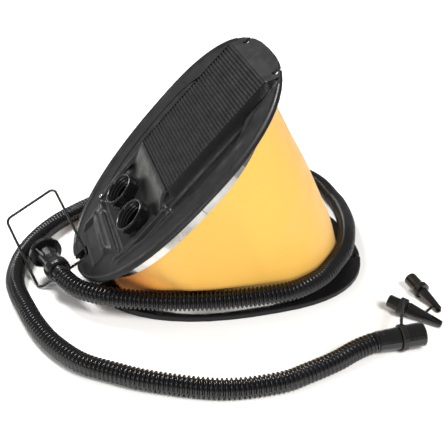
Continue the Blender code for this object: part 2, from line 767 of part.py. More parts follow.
def bellows_loops(depth):
    """Closed loops from the base band to the pedal band, at a depth inside the cloth's outer face."""
    low = shifted(ring_outline(CLOTH_INSET + depth), TIP_X)
    high = shifted(ring_outline(CLOTH_INSET + depth), -HINGE_FROM_TIP)
    normals = outward(low)
    hose = smooth_path(HOSE_ROUTE, 0.004)
    base = [Vector((x, y, BASE_BAND_HIGH + CLEARANCE)) for x, y in low]
    pedal = [open_pedal((x, y, PEDAL_BAND_LOW - CLEARANCE)) for x, y in high]
    loops = [[Vector((x, y, BASE_BAND_LOW + CLEARANCE)) for x, y in low], base]
    for height, upper_share in BELLOWS_ROWS:
        loop = []
        for start, end, (x, y) in zip(base, pedal, normals):
            span = end - start
            share = height / max(span.z, BELLOWS_SHORT_SPAN)
            share += (1 - share) * upper_share
            sag = BELLOWS_SAG * math.sin(math.pi * share) * min(1.0, span.length / 0.10)
            point = start.lerp(end, share) - Vector((x, y, 0)) * sag
            loop.append(clear_of_hose(point, Vector((-x, -y, 0)), hose, HOSE_RADIUS + HOSE_ROOM + depth))
        loops.append(loop)
    loops.append(pedal)
    loops.append([open_pedal((x, y, PEDAL_BAND_HIGH - CLEARANCE)) for x, y in high])
    return loops


def bellows():
    """Cloth wall lofted between the two clamp bands, open at both ends."""
    outer = bellows_loops(0)
    inner = bellows_loops(CLOTH_THICKNESS)
    loops = outer + inner[::-1]
    work = bmesh.new()
    rows = [[work.verts.new(point) for point in loop] for loop in loops]
    for row, following in zip(rows, rows[1:] + rows[:1]):
        for index in range(OUTLINE_POINTS):
            after = (index + 1) % OUTLINE_POINTS
            work.faces.new((row[index], row[after], following[after], following[index]))
    bmesh.ops.recalc_face_normals(work, faces=work.faces)
    mesh = bpy.data.meshes.new("bellows")
    work.to_mesh(mesh)
    work.free()
    return finish(add_object("bellows", mesh), YELLOW_CLOTH, 60)


def return_spring():
    """Coil spring bent along the pedal's swing, with a flat turn at each end."""
    gap = SPRING_WIRE_RADIUS + CLEARANCE
    start = Vector((TIP_X + SPRING_STATION, 0, BASE_TOP + gap))
    end = open_pedal((on_pedal(SPRING_STATION), 0, TREAD_CEILING - gap))
    start_up = Vector((0, 0, 1))
    end_up = Matrix.Rotation(-OPEN_ANGLE, 3, "Y") @ start_up
    reach = (end - start).length
    across = Vector((0, 1, 0))
    closed_turns = 0.9
    rise = SPRING_TURNS - 2 * closed_turns
    points = []
    for index in range(SPRING_TURNS * SPRING_POINTS_PER_TURN + 1):
        turns = index / SPRING_POINTS_PER_TURN
        share = min(1.0, max(0.0, (turns - closed_turns) / rise))
        centre = ((2 * share ** 3 - 3 * share ** 2 + 1) * start
                  + (share ** 3 - 2 * share ** 2 + share) * reach * start_up
                  + (3 * share ** 2 - 2 * share ** 3) * end
                  + (share ** 3 - share ** 2) * reach * end_up)
        axis = start_up.lerp(end_up, share).normalized()
        angle = 2 * math.pi * turns
        offset = math.cos(angle) * across.cross(axis) + math.sin(angle) * across
        lift = 0.0034 * (min(turns, closed_turns) - max(0.0, turns - SPRING_TURNS + closed_turns))
        points.append(centre + SPRING_RADIUS * offset + axis * (lift if turns < closed_turns else 0))
    return finish(wire("return_spring", points, SPRING_WIRE_RADIUS, resolution=1), BAND_STEEL)


# ---------------------------------------------------------------- hose and fittings

def frame_at(name, origin, target):
    """Empty whose Z axis points at a target and whose Y axis points upwards."""
    along = (Vector(target) - Vector(origin)).normalized()
    side = Vector((0, 0, 1)).cross(along).normalized()
    up = along.cross(side)
    frame = bpy.data.objects.new(name, None)
    PARTS.objects.link(frame)
    turn = Matrix((side, up, along)).transposed().to_4x4()
    frame.matrix_world = Matrix.Translation(origin) @ turn
    return frame


def attach(item, parent):
    """Parent a piece and the operands of its Booleans, keeping their local places."""
    item.parent = parent
    for step in item.modifiers:
        if step.type == "BOOLEAN":
            attach(step.object, parent)


def port_fitting():
    """Push-in hose fitting: plug, round flange with four gussets, and a neck for the cuff."""
    profile = [(0.0075, CUFF_START - CLEARANCE), (0.0092, CUFF_START - CLEARANCE), (0.0096, 0.0180),
               (0.0112, 0.0040), (0.0162, 0.0040), (0.0170, 0.0034), (0.0170, 0.0), (0.0141, 0.0),
               (0.0136, -0.0060), (0.0112, -0.0060), (0.0075, 0.0010)]
    body = turned("port_fitting", profile)
    for index in range(4):
        outline = [(0.0095, 0.0034), (0.0155, 0.0034), (0.0155, 0.0060), (0.0104, 0.0160), (0.0088, 0.0160)]
        gusset = side_slab("gusset", outline, 0.0008)
        turn = math.pi * (0.25 + index / 2)
        gusset.matrix_world = Matrix.Rotation(turn, 4, "Z") @ gusset.matrix_world
        combine(body, gusset, "UNION")
    return finish(body, GLOSSY_BLACK)


def fitting_cuff():
    low = CUFF_START
    high = CUFF_START + CUFF_LENGTH
    profile = [(0.0075, high), (0.0106, high), (0.0125, high - 0.0012), (0.0130, high - 0.0035),
               (0.0130, low + 0.0035), (0.0125, low + 0.0012), (0.0106, low), (0.0075, low)]
    return finish(turned("hose_cuff", profile), GLOSSY_BLACK)


def end_cuff():
    """Hard cuff on the hose's free end, with a groove for the strap and a wider open mouth."""
    groove_low, groove_high = STRAP_GROOVE
    profile = [(0.0086, END_CUFF_LENGTH), (0.0104, END_CUFF_LENGTH), (0.0111, END_CUFF_LENGTH - 0.0008),
               (0.0111, groove_high), (STRAP_SEAT, groove_high), (STRAP_SEAT, groove_low - 0.0006),
               (0.0104, groove_low - 0.0012), (0.0097, 0.006), (0.0097, CLEARANCE), (0.0078, CLEARANCE),
               (0.0078, 0.030)]
    return finish(turned("end_cuff", profile), GLOSSY_BLACK)


def nozzle_a(link_from, link_to):
    """Tapered nozzle with an oblique mouth, and the short sprue beside it."""
    tip = NOZZLE_A_LENGTH
    loop_end = NOZZLE_LOOP_STATIONS[1]
    profile = [(0.0018, tip), (0.0029, tip), (0.0034, tip - 0.001), (0.0070, loop_end + 0.0025),
               (NOZZLE_SOCKET_RADIUS, loop_end + 0.0010), (NOZZLE_SOCKET_RADIUS, 0.0012),
               (0.0058, 0.0), (0.0046, 0.0), (0.0046, 0.0130), (0.0018, 0.0240)]
    body = turned("nozzle_long", profile, 18)
    mouth = box("nozzle_mouth", (-0.0014, 0.0010, tip - 0.0110), (0.0014, 0.0080, tip - 0.0020))
    combine(body, mouth, "DIFFERENCE")
    sprue = cylinder("nozzle_sprue", 0.0013, link_from, link_to, 12)
    combine(body, sprue, "UNION")
    return finish(body, GLOSSY_BLACK)


def nozzle_b():
    """Slimmer nozzle with a collar and a V-notched tip."""
    tip = NOZZLE_B_LENGTH
    profile = [(0.0018, tip), (0.0032, tip), (0.0054, 0.0220), (0.0082, 0.0214), (0.0085, 0.0204),
               (0.0085, 0.0162), (0.0078, 0.0152), (0.0067, 0.0148), (0.0067, 0.0012), (0.0062, 0.0),
               (0.0050, 0.0), (0.0050, 0.0120), (0.0018, 0.0220)]
    body = turned("nozzle_short", profile, 18)
    notch = box("nozzle_notch", (-0.006, -0.0018, -0.0018), (0.006, 0.0018, 0.0018))
    notch.matrix_world = Matrix.Translation((0, 0, tip)) @ Matrix.Rotation(math.radians(45), 4, "X")
    combine(body, notch, "DIFFERENCE")
    return finish(body, GLOSSY_BLACK)


def strap_loop(name, bore, radius, low, high):
    edge = 0.0006
    profile = [(bore, high), (radius - edge, high), (radius, high - edge), (radius, low + edge),
               (radius - edge, low), (bore, low)]
    return turned(name, profile)


def nozzle_strap(cuff_frame, nozzle_frame):
    """Moulded strap: a loop in the end cuff's groove, a bridge, and a loop round the long nozzle."""
    groove_low, groove_high = STRAP_GROOVE
    loop = strap_loop("nozzle_strap", STRAP_SEAT + CLEARANCE, STRAP_RING_RADIUS, groove_low,
                      groove_high - CLEARANCE)
    loop.matrix_world = cuff_frame.matrix_world.copy()
    second = strap_loop("nozzle_loop", NOZZLE_SOCKET_RADIUS + CLEARANCE, NOZZLE_LOOP_RADIUS,
                        *NOZZLE_LOOP_STATIONS)
    second.matrix_world = nozzle_frame.matrix_world.copy()
    combine(loop, second, "UNION")
    bridge = mesh_from_curve(wire("strap_bridge", smooth_path(STRAP_ROUTE, 0.007), 0.0015, resolution=1))
    combine(loop, bridge, "UNION")
    return finish(loop, RUBBER)


def clip_ring(pivot):
    """Closed rectangular wire clip, drawn from its corners with rounded bends."""
    corners = [Vector(corner) for corner in CLIP_CORNERS]
    steps = 4
    points = []
    for index, corner in enumerate(corners):
        before = (corners[index - 1] - corner).normalized()
        after = (corners[(index + 1) % len(corners)] - corner).normalized()
        middle = corner + (before + after) * CLIP_BEND
        for step in range(steps + 1):
            angle = math.pi / 2 * step / steps
            arm = -after * math.cos(angle) - before * math.sin(angle)
            points.append(middle + arm * CLIP_BEND - corners[2])
    ring = wire("storage_clip", points, CLIP_WIRE_RADIUS, cyclic=True, resolution=1)
    ring.parent = pivot
    return finish(ring, CLIP_STEEL)


# ---------------------------------------------------------------- assembly

def main():
    pivot = bpy.data.objects.new("pedal_pivot", None)
    PARTS.objects.link(pivot)
    pivot.location = (TIP_X + HINGE_FROM_TIP, 0, HINGE_HEIGHT)
    pivot.rotation_euler = (0, -OPEN_ANGLE, 0)

    base_plate()
    clamp_band("lower_band", TIP_X, BASE_BAND_LOW, BASE_BAND_HIGH)
    band_clasp("lower_clasp", TIP_X, LOWER_CLASP_STATION, BASE_BAND_LOW, BASE_BAND_HIGH)
    hinge_pin()
    bellows()
    return_spring()

    pedal_tip = -HINGE_FROM_TIP
    pedal_pieces = [
        pedal_plate(),
        hinge_block(),
        clamp_band("upper_band", pedal_tip, PEDAL_BAND_LOW, PEDAL_BAND_HIGH),
        band_clasp("upper_clasp", pedal_tip, UPPER_CLASP_STATION, PEDAL_BAND_LOW, PEDAL_BAND_HIGH),
        port("outlet_port", -1),
        port("inlet_port", 1),
        valve_seat("outlet_seat", -1),
        valve_seat("inlet_seat", 1),
        valve_flap("outlet_flap", -1, True),
        valve_flap("inlet_flap", 1, False),
        plate_rivet(),
    ]
    for piece in pedal_pieces:
        attach(piece, pivot)

    fitting_frame = frame_at("fitting_frame", FITTING_ORIGIN, FITTING_TARGET)
    attach(port_fitting(), fitting_frame)
    attach(fitting_cuff(), fitting_frame)
    finish(wire("hose", hose_points(), HOSE_RADIUS), GLOSSY_BLACK)
    end_frame = frame_at("end_frame", END_CUFF_ORIGIN, END_CUFF_TARGET)
    attach(end_cuff(), end_frame)

    long_frame = frame_at("long_nozzle_frame", NOZZLE_A_ORIGIN, NOZZLE_A_TARGET)
    short_frame = frame_at("short_nozzle_frame", NOZZLE_B_ORIGIN, NOZZLE_B_TARGET)
    bpy.context.view_layer.update()
    to_long = long_frame.matrix_world.inverted()
    start = Vector((0, 0, SPRUE_STATIONS[0]))
    across = to_long @ (short_frame.matrix_world @ Vector((0, 0, SPRUE_STATIONS[1])))
    end = across + (start - across).normalized() * SPRUE_GAP
    attach(nozzle_a(start + (end - start).normalized() * 0.003, end), long_frame)
    attach(nozzle_b(), short_frame)
    nozzle_strap(end_frame, long_frame)

    clip_pivot = bpy.data.objects.new("clip_pivot", None)
    PARTS.objects.link(clip_pivot)
    clip_pivot.location = CLIP_CORNERS[2]
    clip_ring(clip_pivot)


clear_scene()
PARTS = collection(COLLECTION_NAME)
CUTTERS = collection("cutters")
BLACK_PLASTIC = material("black_plastic", (0.030, 0.031, 0.033), 0.55)
GLOSSY_BLACK = material("glossy_black", (0.018, 0.018, 0.019), 0.28)
BAND_STEEL = material("band_steel", (0.72, 0.72, 0.71), 0.30, 1.0)
CLIP_STEEL = material("clip_wire", (0.022, 0.022, 0.024), 0.32, 0.6)
YELLOW_CLOTH = material("yellow_cloth", (0.95, 0.50, 0.07), 0.60)
RUBBER = material("black_rubber", (0.020, 0.020, 0.020), 0.60)
main()
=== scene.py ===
"""Looks of the bellows foot air pump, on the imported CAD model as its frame."""

import math

import bmesh
import bpy
from mathutils import Matrix, Vector, noise


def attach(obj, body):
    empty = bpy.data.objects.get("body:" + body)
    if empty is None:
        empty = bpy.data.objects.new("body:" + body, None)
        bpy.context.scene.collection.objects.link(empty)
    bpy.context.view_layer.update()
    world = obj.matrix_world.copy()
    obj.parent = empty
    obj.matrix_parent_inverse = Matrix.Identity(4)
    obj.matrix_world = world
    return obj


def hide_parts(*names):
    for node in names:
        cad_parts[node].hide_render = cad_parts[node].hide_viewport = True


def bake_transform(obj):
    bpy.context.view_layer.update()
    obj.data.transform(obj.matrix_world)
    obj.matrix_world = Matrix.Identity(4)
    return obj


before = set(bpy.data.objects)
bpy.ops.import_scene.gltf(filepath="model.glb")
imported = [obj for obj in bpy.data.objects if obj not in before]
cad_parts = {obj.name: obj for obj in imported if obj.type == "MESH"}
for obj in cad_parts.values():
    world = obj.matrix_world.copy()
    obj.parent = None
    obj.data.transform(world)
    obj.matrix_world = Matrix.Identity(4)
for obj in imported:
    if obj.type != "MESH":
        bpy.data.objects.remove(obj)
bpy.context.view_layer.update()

# ---------------------------------------------------------------- sizes repeated from the CAD source

PLATE_LENGTH = 0.290
TIP_X = -PLATE_LENGTH / 2
PLATE_HALF_WIDTH = 0.110
PLATE_WIDEST = 0.171
PLATE_POWERS = (2.35, 2.47)
RING_FIRST = 0.0195
RING_LAST = 0.268
RING_WIDEST = 0.165
RING_HALF_WIDTH = 0.1055
RING_POWERS = (2.65, 2.0)
CLOTH_INSET = 0.0011
CLOTH_THICKNESS = 0.0008

HINGE_FROM_TIP = 0.007
HINGE = Vector((TIP_X + HINGE_FROM_TIP, 0, 0.0155))
OPEN_ANGLE = math.radians(46)
PEDAL_RIM = 0.0187
PEDAL_BAND_LOW = 0.0069
PEDAL_BAND_HIGH = 0.0154
BASE_BAND_LOW = 0.0063
BASE_BAND_HIGH = 0.0148
CLEARANCE = 0.0003
WELL_FLOOR = PEDAL_RIM - 0.0049
TREAD_TOP = PEDAL_RIM + 0.0078
TREAD_STATIONS = (0.131, 0.267)
TREAD_HALF_WIDTH = 0.055
RIB_DEPTH = 0.0012
PORT_STATION = 0.0825
PORT_SPACING = 0.055
PORT_RADIUS = 0.0180
PORT_BORE = 0.0153
PORT_TOP = PEDAL_RIM + 0.0060
POCKET_SIDES = (-0.0085, 0.0075)
TIP_SPLIT = 0.0185
SPRING_STATION = 0.165
SPRING_RADIUS = 0.024
SPRING_WIRE_RADIUS = 0.0015
SPRING_TURNS = 6
BASE_TOP = 0.0060
TREAD_CEILING = TREAD_TOP - 0.0045
END_CUFF_ORIGIN = Vector((0.0914, -0.1903, 0.0121))
END_CUFF_TARGET = Vector((0.1363, -0.1932, 0.0134))

HOSE_RADIUS = 0.0095
HOSE_ROOM = 0.0012
HOSE_ROUTE = (
    (-0.1748, -0.0191, 0.0274),
    (-0.1705, -0.0320, 0.0266),
    (-0.1612, -0.0485, 0.0252),
    (-0.1437, -0.0640, 0.0246),
    (-0.1240, -0.0750, 0.0246),
    (-0.0885, -0.0905, 0.0246),
    (-0.0520, -0.1010, 0.0246),
    (-0.0150, -0.1075, 0.0246),
    (0.0245, -0.1100, 0.0246),
    (0.0470, -0.1075, 0.0246),
    (0.0752, -0.0948, 0.0246),
    (0.0975, -0.0750, 0.0246),
    (0.1145, -0.0560, 0.0246),
    (0.1285, -0.0310, 0.0240),
    (0.1430, 0.0050, 0.0195),
    (0.1540, 0.0500, 0.0130),
    (0.1562, 0.0780, 0.0098),
    (0.1550, 0.1060, 0.0098),
    (0.1480, 0.1300, 0.0098),
    (0.1340, 0.1530, 0.0098),
    (0.1080, 0.1730, 0.0098),
    (0.0740, 0.1830, 0.0098),
    (0.0350, 0.1840, 0.0098),
    (-0.0100, 0.1780, 0.0098),
    (-0.0550, 0.1660, 0.0098),
    (-0.0980, 0.1490, 0.0098),
    (-0.1324, 0.1300, 0.0098),
    (-0.1610, 0.1105, 0.0098),
    (-0.1858, 0.0840, 0.0098),
    (-0.2064, 0.0500, 0.0098),
    (-0.2172, 0.0145, 0.0098),
    (-0.2180, -0.0123, 0.0098),
    (-0.2121, -0.0450, 0.0098),
    (-0.2050, -0.0760, 0.0098),
    (-0.1935, -0.1070, 0.0098),
    (-0.1734, -0.1396, 0.0098),
    (-0.1468, -0.1621, 0.0098),
    (-0.1133, -0.1847, 0.0098),
    (-0.0601, -0.2094, 0.0098),
    (-0.0105, -0.2153, 0.0098),
    (0.0172, -0.2105, 0.0099),
    (0.0456, -0.2034, 0.0104),
    (0.0698, -0.1946, 0.0113),
    (0.0914, -0.1900, 0.0123),
)
CLIP_CORNERS = (
    (-0.1654, 0.0704, 0.0740),
    (-0.2184, 0.0730, 0.0422),
    (-0.1961, -0.0025, 0.0005),
    (-0.1437, -0.0049, 0.0318),
)
CLIP_WIRE_RADIUS = 0.0014
CLIP_BEND = 0.006


# ---------------------------------------------------------------- camera and light

def camera():
    data = bpy.data.cameras.new("camera")
    data.lens = 70.27
    data.sensor_width = 36.0
    data.shift_x = 0.0023
    data.shift_y = -0.0317
    data.clip_end = 20.0
    item = bpy.data.objects.new("camera", data)
    bpy.context.scene.collection.objects.link(item)
    right = Vector((0.9600, -0.2799, 0.0002)).normalized()
    back = Vector((-0.2419, -0.8293, 0.5038)).normalized()
    up = back.cross(right).normalized()
    right = up.cross(back)
    turn = Matrix((right, up, back)).transposed().to_4x4()
    item.matrix_world = Matrix.Translation((-0.220458, -0.755771, 0.519170)) @ turn
    bpy.context.scene.camera = item


def area_light(name, place, target, size, power, colour=(1, 1, 1)):
    data = bpy.data.lights.new(name, "AREA")
    data.shape = "SQUARE"
    data.size = size
    data.energy = power
    data.color = colour
    item = bpy.data.objects.new(name, data)
    bpy.context.scene.collection.objects.link(item)
    item.location = place
    item.rotation_euler = (Vector(target) - Vector(place)).to_track_quat("-Z", "Y").to_euler()
    return item


def studio():
    world = bpy.data.worlds.new("studio")
    world.use_nodes = True
    world.node_tree.nodes["Background"].inputs["Color"].default_value = (1.0, 1.0, 1.0, 1)
    world.node_tree.nodes["Background"].inputs["Strength"].default_value = 0.30
    bpy.context.scene.world = world
    area_light("key", (-0.60, 0.80, 1.50), (0, 0, 0.05), 0.50, 36, (1.0, 0.99, 0.97))
    fill = area_light("front", (0.40, -1.20, 1.25), (0, 0, 0.05), 0.60, 33, (1.0, 0.985, 0.965))
    fill.visible_glossy = False
    area_light("side", (-1.30, -0.50, 0.80), (0, 0, 0.08), 0.40, 6)
    scene = bpy.context.scene
    scene.view_settings.view_transform = "Standard"
    scene.view_settings.look = "None"


def floor():
    mesh = bpy.data.meshes.new("floor")
    half = 3.0
    corners = [(-half, -half, 0), (half, -half, 0), (half, half, 0), (-half, half, 0)]
    mesh.from_pydata(corners, [], [(0, 1, 2, 3)])
    item = add("floor", mesh)
    look = bpy.data.materials.new("floor")
    look.use_nodes = True
    shader = look.node_tree.nodes["Principled BSDF"]
    shader.inputs["Base Color"].default_value = (0.90, 0.895, 0.885, 1)
    shader.inputs["Roughness"].default_value = 0.75
    shader.inputs["Specular IOR Level"].default_value = 0.2
    mesh.materials.append(look)


# ---------------------------------------------------------------- helpers

def add(name, data):
    item = bpy.data.objects.new(name, data)
    bpy.context.scene.collection.objects.link(item)
    return item


def mesh_object(name, vertices, faces, smooth_angle=40):
    mesh = bpy.data.meshes.new(name)
    mesh.from_pydata([tuple(v) for v in vertices], [], faces)
    work = bmesh.new()
    work.from_mesh(mesh)
    bmesh.ops.recalc_face_normals(work, faces=work.faces)
    work.to_mesh(mesh)
    work.free()
    mesh.shade_smooth()
    mesh.set_sharp_from_angle(angle=math.radians(smooth_angle))
    return add(name, mesh)


def skin(name, rows, closed=False, caps=False, smooth_angle=40):
    """Surface over rows of points, each row a closed loop."""
    count = len(rows[0])
    vertices = [point for row in rows for point in row]
    faces = []
    last = len(rows) if closed else len(rows) - 1
    for row in range(last):
        following = (row + 1) % len(rows)
        for index in range(count):
            after = (index + 1) % count
            faces.append((row * count + index, row * count + after,
                          following * count + after, following * count + index))
    if caps:
        faces.append(tuple(range(count)))
        faces.append(tuple(range((len(rows) - 1) * count, len(rows) * count)))
    return mesh_object(name, vertices, faces, smooth_angle)


def egg(first, last, widest, half_width, powers, count):
    points = []
    for index in range(count):
        turn = 2 * math.pi * index / count
        cosine = math.cos(turn)
        sine = math.sin(turn)
        power = powers[1] if cosine > 0 else powers[0]
        length = last - widest if cosine > 0 else widest - first
        along = math.copysign(abs(cosine) ** (2 / power), cosine)
        across = math.copysign(abs(sine) ** (2 / power), sine)
        points.append((widest + length * along, half_width * across))
    return points


def outward(points):
    normals = []
    for index in range(len(points)):
        before = points[index - 1]
        after = points[(index + 1) % len(points)]
        run = (after[0] - before[0], after[1] - before[1])
        size = math.hypot(*run)
        normals.append((run[1] / size, -run[0] / size))
    return normals


def inset(points, distance):
    return [(x - nx * distance, y - ny * distance) for (x, y), (nx, ny) in zip(points, outward(points))]


def shifted(points, step):
    return [(x + step, y) for x, y in points]


def ring_outline(depth, count):
    return inset(egg(RING_FIRST, RING_LAST, RING_WIDEST, RING_HALF_WIDTH, RING_POWERS, count), depth)


def open_pedal(point):
    """World position of a point given in the pedal's frame, whose origin is the hinge."""
    return Matrix.Rotation(-OPEN_ANGLE, 3, "Y") @ Vector(point) + HINGE


def smooth_path(route, pitch):
    """Evenly spaced points on a Catmull-Rom curve through a route."""
    knots = [Vector(point) for point in route]
    knots = [2 * knots[0] - knots[1]] + knots + [2 * knots[-1] - knots[-2]]
    dense = []
    for index in range(1, len(knots) - 2):
        before, here, after, beyond = knots[index - 1:index + 3]
        for part in range(40):
            t = part / 40
            dense.append(0.5 * (2 * here + (after - before) * t
                                + (2 * before - 5 * here + 4 * after - beyond) * t ** 2
                                + (3 * here - before - 3 * after + beyond) * t ** 3))
    dense.append(knots[-2])
    lengths = [0.0]
    for one, two in zip(dense, dense[1:]):
        lengths.append(lengths[-1] + (two - one).length)
    count = round(lengths[-1] / pitch)
    points = []
    index = 0
    for step in range(count + 1):
        target = lengths[-1] * step / count
        while index < len(lengths) - 2 and lengths[index + 1] < target:
            index += 1
        share = (target - lengths[index]) / (lengths[index + 1] - lengths[index])
        points.append(dense[index].lerp(dense[index + 1], share))
    return points


# ---------------------------------------------------------------- materials

def surface(name, colour, roughness, metallic=0.0, shade=0.75, patch_scale=14.0, rough_span=0.10,
            grain_scale=900.0, grain=0.06, specular=0.5, sheen=0.0):
    """Principled material with patchy colour, uneven roughness and a fine grain, all from object space."""
    look = bpy.data.materials.new(name)
    look.use_nodes = True
    nodes = look.node_tree.nodes
    links = look.node_tree.links
    shader = nodes["Principled BSDF"]
    shader.inputs["Metallic"].default_value = metallic
    shader.inputs["Specular IOR Level"].default_value = specular
    shader.inputs["Sheen Weight"].default_value = sheen
    place = nodes.new("ShaderNodeTexCoord")

    patches = nodes.new("ShaderNodeTexNoise")
    patches.inputs["Scale"].default_value = patch_scale
    patches.inputs["Detail"].default_value = 5.0
    tones = nodes.new("ShaderNodeValToRGB")
    tones.color_ramp.elements[0].position = 0.30
    tones.color_ramp.elements[1].position = 0.72
    tones.color_ramp.elements[0].color = (*[c * shade for c in colour], 1)
    tones.color_ramp.elements[1].color = (*colour, 1)
    links.new(place.outputs["Object"], patches.inputs["Vector"])
    links.new(patches.outputs["Fac"], tones.inputs["Fac"])
    links.new(tones.outputs["Color"], shader.inputs["Base Color"])

    scuffs = nodes.new("ShaderNodeTexNoise")
    scuffs.inputs["Scale"].default_value = patch_scale * 6
    scuffs.inputs["Detail"].default_value = 6.0
    span = nodes.new("ShaderNodeMapRange")
    span.inputs["From Min"].default_value = 0.3
    span.inputs["From Max"].default_value = 0.7
    span.inputs["To Min"].default_value = roughness - rough_span
    span.inputs["To Max"].default_value = roughness + rough_span
    links.new(place.outputs["Object"], scuffs.inputs["Vector"])
    links.new(scuffs.outputs["Fac"], span.inputs["Value"])
    links.new(span.outputs["Result"], shader.inputs["Roughness"])

    fine = nodes.new("ShaderNodeTexNoise")
    fine.inputs["Scale"].default_value = grain_scale
    fine.inputs["Detail"].default_value = 2.0
    bump = nodes.new("ShaderNodeBump")
    bump.inputs["Strength"].default_value = grain
    bump.inputs["Distance"].default_value = 0.0004
    links.new(place.outputs["Object"], fine.inputs["Vector"])
    links.new(fine.outputs["Fac"], bump.inputs["Height"])
    links.new(bump.outputs["Normal"], shader.inputs["Normal"])
    return look


def paint_shade_gradient(look, colour, direction, full, none):
    """Mix a deeper colour in along a direction as painted shade: all of it before one distance, none after
    another.
    """
    nodes = look.node_tree.nodes
    links = look.node_tree.links
    shader = nodes["Principled BSDF"]
    plain = shader.inputs["Base Color"].links[0].from_socket
    place = nodes.new("ShaderNodeTexCoord")
    along = nodes.new("ShaderNodeVectorMath")
    along.operation = "DOT_PRODUCT"
    along.inputs[1].default_value = direction
    wave = nodes.new("ShaderNodeTexNoise")
    wave.inputs["Scale"].default_value = 16.0
    wave.inputs["Detail"].default_value = 3.0
    shift = nodes.new("ShaderNodeMath")
    shift.operation = "MULTIPLY_ADD"
    shift.inputs[1].default_value = 0.08
    span = nodes.new("ShaderNodeMapRange")
    span.interpolation_type = "SMOOTHSTEP"
    span.inputs["From Min"].default_value = none + 0.04
    span.inputs["From Max"].default_value = full + 0.04
    mix = nodes.new("ShaderNodeMix")
    mix.data_type = "RGBA"
    mix.inputs[7].default_value = (*colour, 1)
    links.new(place.outputs["Object"], along.inputs[0])
    links.new(place.outputs["Object"], wave.inputs["Vector"])
    links.new(wave.outputs["Fac"], shift.inputs[0])
    links.new(along.outputs["Value"], shift.inputs[2])
    links.new(shift.outputs["Value"], span.inputs["Value"])
    links.new(span.outputs["Result"], mix.inputs[0])
    links.new(plain, mix.inputs[6])
    links.new(mix.outputs[2], shader.inputs["Base Color"])


def dress(node, look):
    """Give a CAD node a material."""
    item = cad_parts[node]
    for place in item.material_slots:
        place.material = look


def wear(item, look):
    item.data.materials.clear()
    item.data.materials.append(look)


# ---------------------------------------------------------------- hose

HOSE_PITCH = 0.0042
HOSE_SIDES = 28
# Along one rib: share of the pitch, and radius.
HOSE_RIB = ((0.00, 0.0073), (0.14, 0.0075), (0.27, 0.0090), (0.41, 0.0095),
            (0.59, 0.0095), (0.73, 0.0090), (0.86, 0.0075))
HOSE_SLEEVE = 0.006
SLEEVE_RADIUS = 0.0090


def tube_frames(path):
    """A side and an up vector at each point of a path, carried along it without twist."""
    ways = []
    for index in range(len(path)):
        before = path[max(0, index - 1)]
        after = path[min(len(path) - 1, index + 1)]
        ways.append((after - before).normalized())
    side = ways[0].cross(Vector((0, 0, 1))).normalized()
    frames = []
    for way in ways:
        side = (side - way * side.dot(way)).normalized()
        frames.append((side, way.cross(side)))
    return frames


def corrugated_hose():
    path = smooth_path(HOSE_ROUTE, HOSE_PITCH)
    total = HOSE_PITCH * (len(path) - 1)
    frames = tube_frames(path)
    rows = []
    for index in range(len(path) - 1):
        travelled = index * HOSE_PITCH
        plain = travelled < HOSE_SLEEVE or total - travelled < HOSE_SLEEVE
        for share, radius in HOSE_RIB:
            centre = path[index].lerp(path[index + 1], share)
            side = frames[index][0].lerp(frames[index + 1][0], share)
            up = frames[index][1].lerp(frames[index + 1][1], share)
            reach = SLEEVE_RADIUS if plain else radius
            row = []
            for step in range(HOSE_SIDES):
                angle = 2 * math.pi * step / HOSE_SIDES
                row.append(centre + (side * math.cos(angle) + up * math.sin(angle)) * reach)
            rows.append(row)
    end = len(path) - 1
    rows.append([path[end] + (frames[end][0] * math.cos(2 * math.pi * step / HOSE_SIDES)
                              + frames[end][1] * math.sin(2 * math.pi * step / HOSE_SIDES)) * SLEEVE_RADIUS
                 for step in range(HOSE_SIDES)])
    item = skin("hose_corrugated", rows, caps=True, smooth_angle=60)
    return item, path


# ---------------------------------------------------------------- bellows

CLOTH_POINTS = 168
LOW_HEIGHTS = (0.0012, 0.0030, 0.0050, 0.0072, 0.0095, 0.0118, 0.0142, 0.0170, 0.0200, 0.0230)
HIGH_SHARES = tuple(step / 16 for step in range(1, 17))
SHORT_SPAN = 0.032
CLOTH_SAG = 0.002
CLOTH_BULGE = 0.0065
# Slanting folds near the hinge: where they fade out along X, their direction, and place, width, depth.
FOLD_FADE = (-0.085, -0.015)
FOLD_SLANT = (0.8, 1.1)
FOLDS = ((-0.020, 0.009, 0.0032), (-0.052, 0.008, 0.0024), (-0.036, 0.008, -0.0016))


def clear_of_hose(point, inwards, hose, room):
    moved = 0.0
    for centre in hose:
        gap = point - centre
        if gap.length < room:
            along = gap.dot(inwards)
            moved = max(moved, math.sqrt(along ** 2 - gap.length_squared + room ** 2) - along)
    return point + inwards * moved


def hinge_folds(point):
    """Depth of the slanting folds that the cloth takes near the hinge."""
    near = 1 - ramp(point.x, *FOLD_FADE)
    slant = point.x * FOLD_SLANT[0] + point.z * FOLD_SLANT[1]
    return near * sum(depth * math.exp(-((slant - place) / width) ** 2) for place, width, depth in FOLDS)


